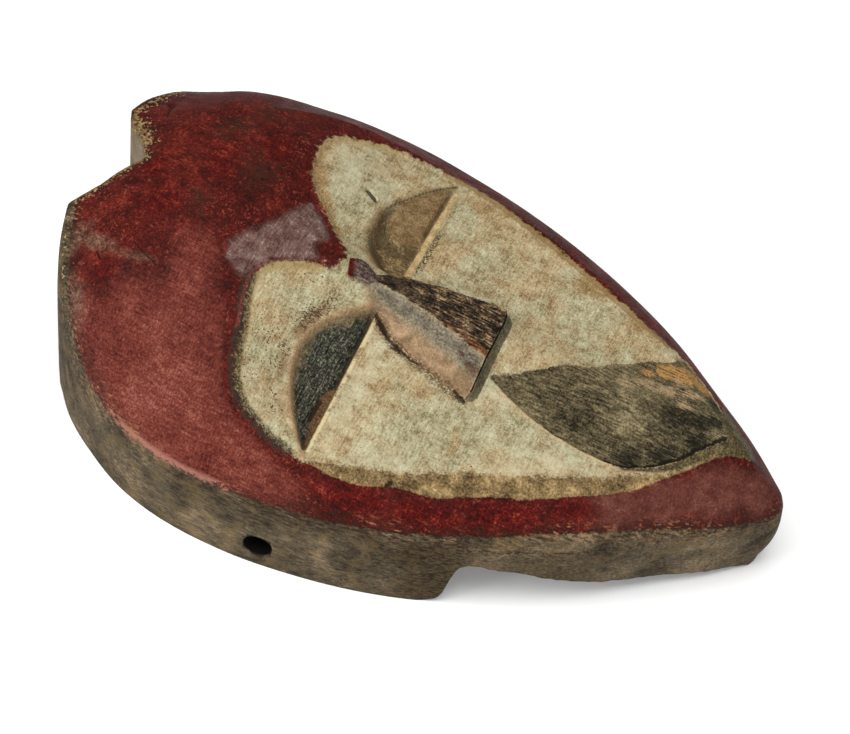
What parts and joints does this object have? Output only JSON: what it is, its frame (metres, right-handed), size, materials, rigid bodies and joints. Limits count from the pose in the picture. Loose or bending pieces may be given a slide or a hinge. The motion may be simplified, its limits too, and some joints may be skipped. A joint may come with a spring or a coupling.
{
  "type": "mask",
  "caption": "Small carved wooden mask with a heart-shaped face, half-moon eyes, wedge nose, notched crown and hollow back, drilled at the sides for a tie cord.",
  "frame": {"origin": "centre of the bounding box in plan, on the flat underside of the rim", "axes": "+Z out of the face, +Y from the chin to the crown, +X to the right when the face is seen from the front"},
  "size_m": [0.1072, 0.165, 0.0423],
  "materials": {
    "wood": "satin"
  },
  "bodies": {
    "root": {"mask": "wood"}
  },
  "joints": []
}
